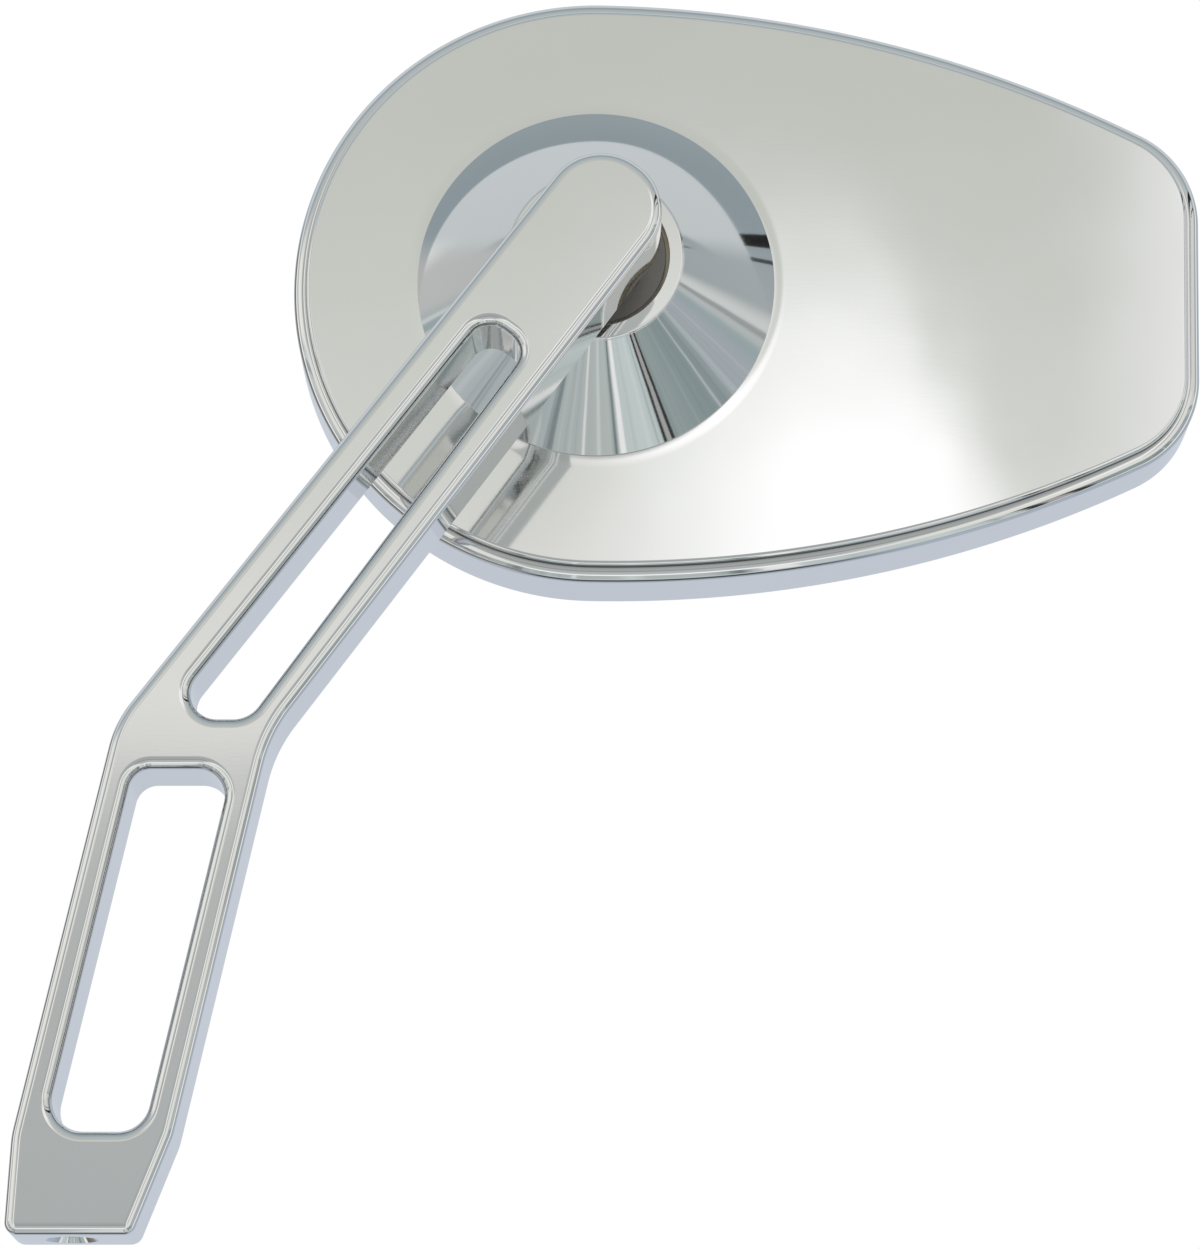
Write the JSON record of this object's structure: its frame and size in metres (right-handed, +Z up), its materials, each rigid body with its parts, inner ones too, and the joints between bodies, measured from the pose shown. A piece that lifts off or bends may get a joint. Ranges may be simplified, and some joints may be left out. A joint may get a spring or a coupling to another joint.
{
  "type": "motorcycle mirror",
  "caption": "Handlebar mirror for a motorcycle: a bent, slotted metal arm carries a teardrop head with a domed hub on a ball joint, tapped for a stem at its foot.",
  "frame": {"origin": "middle of the arm's flat foot, at the mouth of the tapped hole for the handlebar stem", "axes": "+Z up along the stem hole, +Y from the viewed back towards the mirror glass, +X from the foot towards the head"},
  "size_m": [0.1945, 0.0534, 0.2168],
  "materials": {
    "polished_metal": "machined from solid, polished and plated bright",
    "ball_steel": "turned steel, darkened",
    "plated_steel": "zinc plated",
    "liner_plastic": "self-lubricating moulded plastic",
    "seat_plastic": "glass-filled moulded plastic, matte",
    "spring_steel": "hardened spring steel",
    "backing_plastic": "flat moulded sheet",
    "foam_pad": "double-sided foam",
    "mirror_glass": "flat silvered glass",
    "seal_rubber": "matte seal bead"
  },
  "bodies": {
    "arm": {"arm": "polished_metal", "ball_stud": "ball_steel", "stud_washer": "plated_steel"},
    "liner": {"ball_liner": "liner_plastic"},
    "seats": {"upper_seat": "seat_plastic", "lower_seat": "seat_plastic"},
    "head": {"hub_cone": "polished_metal", "head_housing": "polished_metal", "hub_screws": "plated_steel", "pressure_plate": "plated_steel", "plate_screws": "plated_steel", "disc_spring_near": "spring_steel", "disc_spring_far": "spring_steel", "backing_plate": "backing_plastic", "adhesive_pad": "foam_pad", "mirror_glass": "mirror_glass", "glass_seal": "seal_rubber"}
  },
  "joints": [
    {"name": "tilt_up_down", "type": "hinge", "parent": "arm", "child": "liner", "pos_m": [0.08174, 0.02026, 0.16542], "axis": [1, 0, 0], "range_deg": [-15, 15]},
    {"name": "tilt_side", "type": "hinge", "parent": "liner", "child": "seats", "pos_m": [0.08174, 0.02026, 0.16542], "axis": [0, 0, 1], "range_deg": [-15, 15]},
    {"name": "swivel", "type": "hinge", "parent": "seats", "child": "head", "pos_m": [0.08174, 0.02026, 0.16542], "axis": [0, 1, 0], "range_deg": [-40, 40]}
  ]
}
